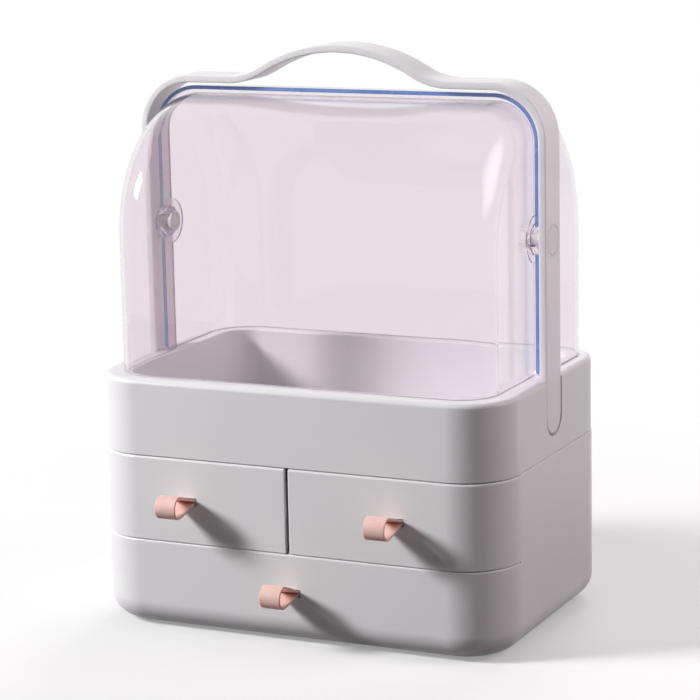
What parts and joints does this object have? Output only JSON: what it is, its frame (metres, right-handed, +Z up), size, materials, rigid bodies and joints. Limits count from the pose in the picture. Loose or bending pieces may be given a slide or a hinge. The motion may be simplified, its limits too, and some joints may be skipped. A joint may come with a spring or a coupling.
{
  "type": "covered makeup organizer",
  "caption": "Freestanding makeup organizer: a rounded drawer cabinet under an open tray, closed by nested clear covers, with a carrying handle.",
  "frame": {"origin": "middle of the bounding box's bottom face, on the table", "axes": "+X to the right, the drawers open towards -Y, +Z up"},
  "size_m": [0.28, 0.2172, 0.3638],
  "materials": {
    "casing_white": "satin off-white moulded plastic",
    "inner_white": "plain off-white moulded plastic",
    "clear_cover": "clear polished plastic with a faint mauve tint and blue edges",
    "pull_strap": "smooth pale pink strap",
    "foot_rubber": "matt grey rubber"
  },
  "bodies": {
    "cabinet": {"cabinet_shell": "casing_white", "drawer_shelf": "inner_white", "centre_divider": "inner_white", "top_tray": "casing_white", "carry_handle": "casing_white", "rear_cover": "clear_cover", "left_hinge_pin": "casing_white", "right_hinge_pin": "casing_white", "left_pin_retainer": "inner_white", "right_pin_retainer": "inner_white", "rubber_feet": "foot_rubber"},
    "front_cover": {"front_cover": "clear_cover"},
    "left_drawer": {"left_drawer_front": "casing_white", "left_drawer_box": "inner_white", "left_pull": "pull_strap", "left_pull_clamp": "inner_white"},
    "right_drawer": {"right_drawer_front": "casing_white", "right_drawer_box": "inner_white", "right_pull": "pull_strap", "right_pull_clamp": "inner_white"},
    "bottom_drawer": {"bottom_drawer_front": "casing_white", "bottom_drawer_box": "inner_white", "bottom_pull": "pull_strap", "bottom_pull_clamp": "inner_white"}
  },
  "joints": [
    {"name": "front_cover_hinge", "type": "hinge", "parent": "cabinet", "child": "front_cover", "pos_m": [0, 0.01365, 0.246], "axis": [-1, 0, 0], "range_deg": [0, 90]},
    {"name": "left_drawer_slide", "type": "slide", "parent": "cabinet", "child": "left_drawer", "axis": [0, -1, 0], "range_m": [0, 0.12]},
    {"name": "right_drawer_slide", "type": "slide", "parent": "cabinet", "child": "right_drawer", "axis": [0, -1, 0], "range_m": [0, 0.12]},
    {"name": "bottom_drawer_slide", "type": "slide", "parent": "cabinet", "child": "bottom_drawer", "axis": [0, -1, 0], "range_m": [0, 0.12]}
  ]
}
